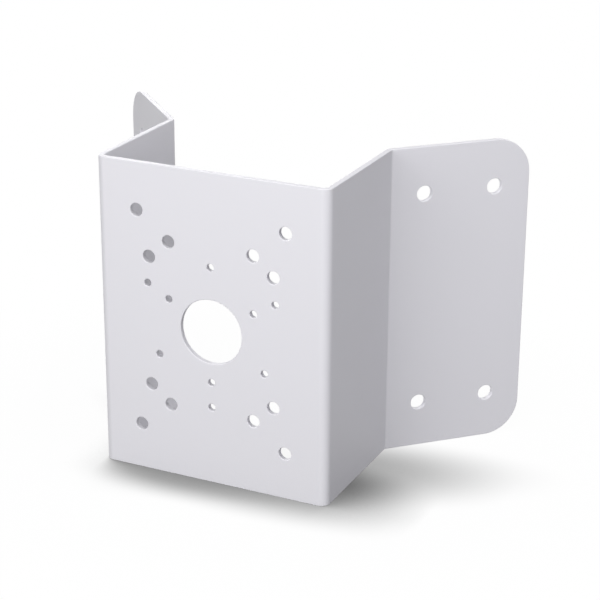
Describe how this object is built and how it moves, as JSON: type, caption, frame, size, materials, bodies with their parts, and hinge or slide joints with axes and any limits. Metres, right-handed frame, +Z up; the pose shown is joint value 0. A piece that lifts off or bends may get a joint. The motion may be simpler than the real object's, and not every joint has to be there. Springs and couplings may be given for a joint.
{
  "type": "camera corner mount bracket",
  "caption": "Folded sheet-steel bracket that holds a camera on a building's outside corner: a drilled front plate, side walls and angled anchor flanges.",
  "frame": {"origin": "middle of the part's footprint, at its lower edge", "axes": "+X along the front plate, +Y from the front plate to the wall side, +Z up"},
  "size_m": [0.2424, 0.1344, 0.17],
  "materials": {
    "powder_coat": "satin powder coat, cool white, fine orange peel"
  },
  "bodies": {
    "root": {"corner_bracket": "powder_coat"}
  },
  "joints": []
}
